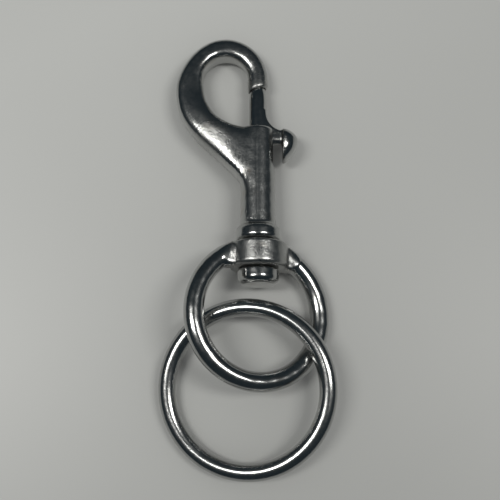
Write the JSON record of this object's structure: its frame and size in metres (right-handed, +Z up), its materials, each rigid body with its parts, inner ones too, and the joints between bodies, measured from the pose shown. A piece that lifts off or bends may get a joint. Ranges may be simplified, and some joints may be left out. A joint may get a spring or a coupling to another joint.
{
  "type": "swivel snap hook",
  "caption": "Cast steel snap hook with a spring bolt worked by the thumb, a swivelling round eye and a loose welded ring, lying on its side.",
  "frame": {"origin": "centre of the bounding box in plan, on the surface that the hook, its eye and its ring lie on", "axes": "+Z up from that surface, +Y along the hook from the loose ring to the crown of the hook, +X to the side the thumb piece is on"},
  "size_m": [0.0496, 0.1284, 0.0195],
  "materials": {
    "cast_steel": "polished casting with a slightly rough skin",
    "bolt_steel": "polished rod with a rough cast web",
    "spring_wire": "drawn wire",
    "ring_steel": "bright polished wire"
  },
  "bodies": {
    "hook": {"hook_body": "cast_steel", "bolt_spring": "spring_wire"},
    "bolt": {"thumb_bolt": "bolt_steel"},
    "eye": {"swivel_eye": "cast_steel"},
    "ring": {"loose_ring": "ring_steel"}
  },
  "joints": [
    {"name": "bolt_slide", "type": "slide", "parent": "hook", "child": "bolt", "axis": [0, -0.9969, 0.0782], "range_m": [0, 0.0079], "stiffness_N_per_m": 350, "springref_m": -0.004, "deforming": ["bolt_spring"]},
    {"name": "eye_swivel", "type": "hinge", "parent": "hook", "child": "eye", "pos_m": [0.0032, -0.00268, 0.00849], "axis": [0, 0.9969, -0.0782], "continuous": true},
    {"name": "ring_round_eye", "type": "hinge", "parent": "eye", "child": "ring", "pos_m": [0.0032, -0.01883, 0.00976], "axis": [0.365, 0.0728, 0.9282], "range_deg": [-38, 50]}
  ]
}
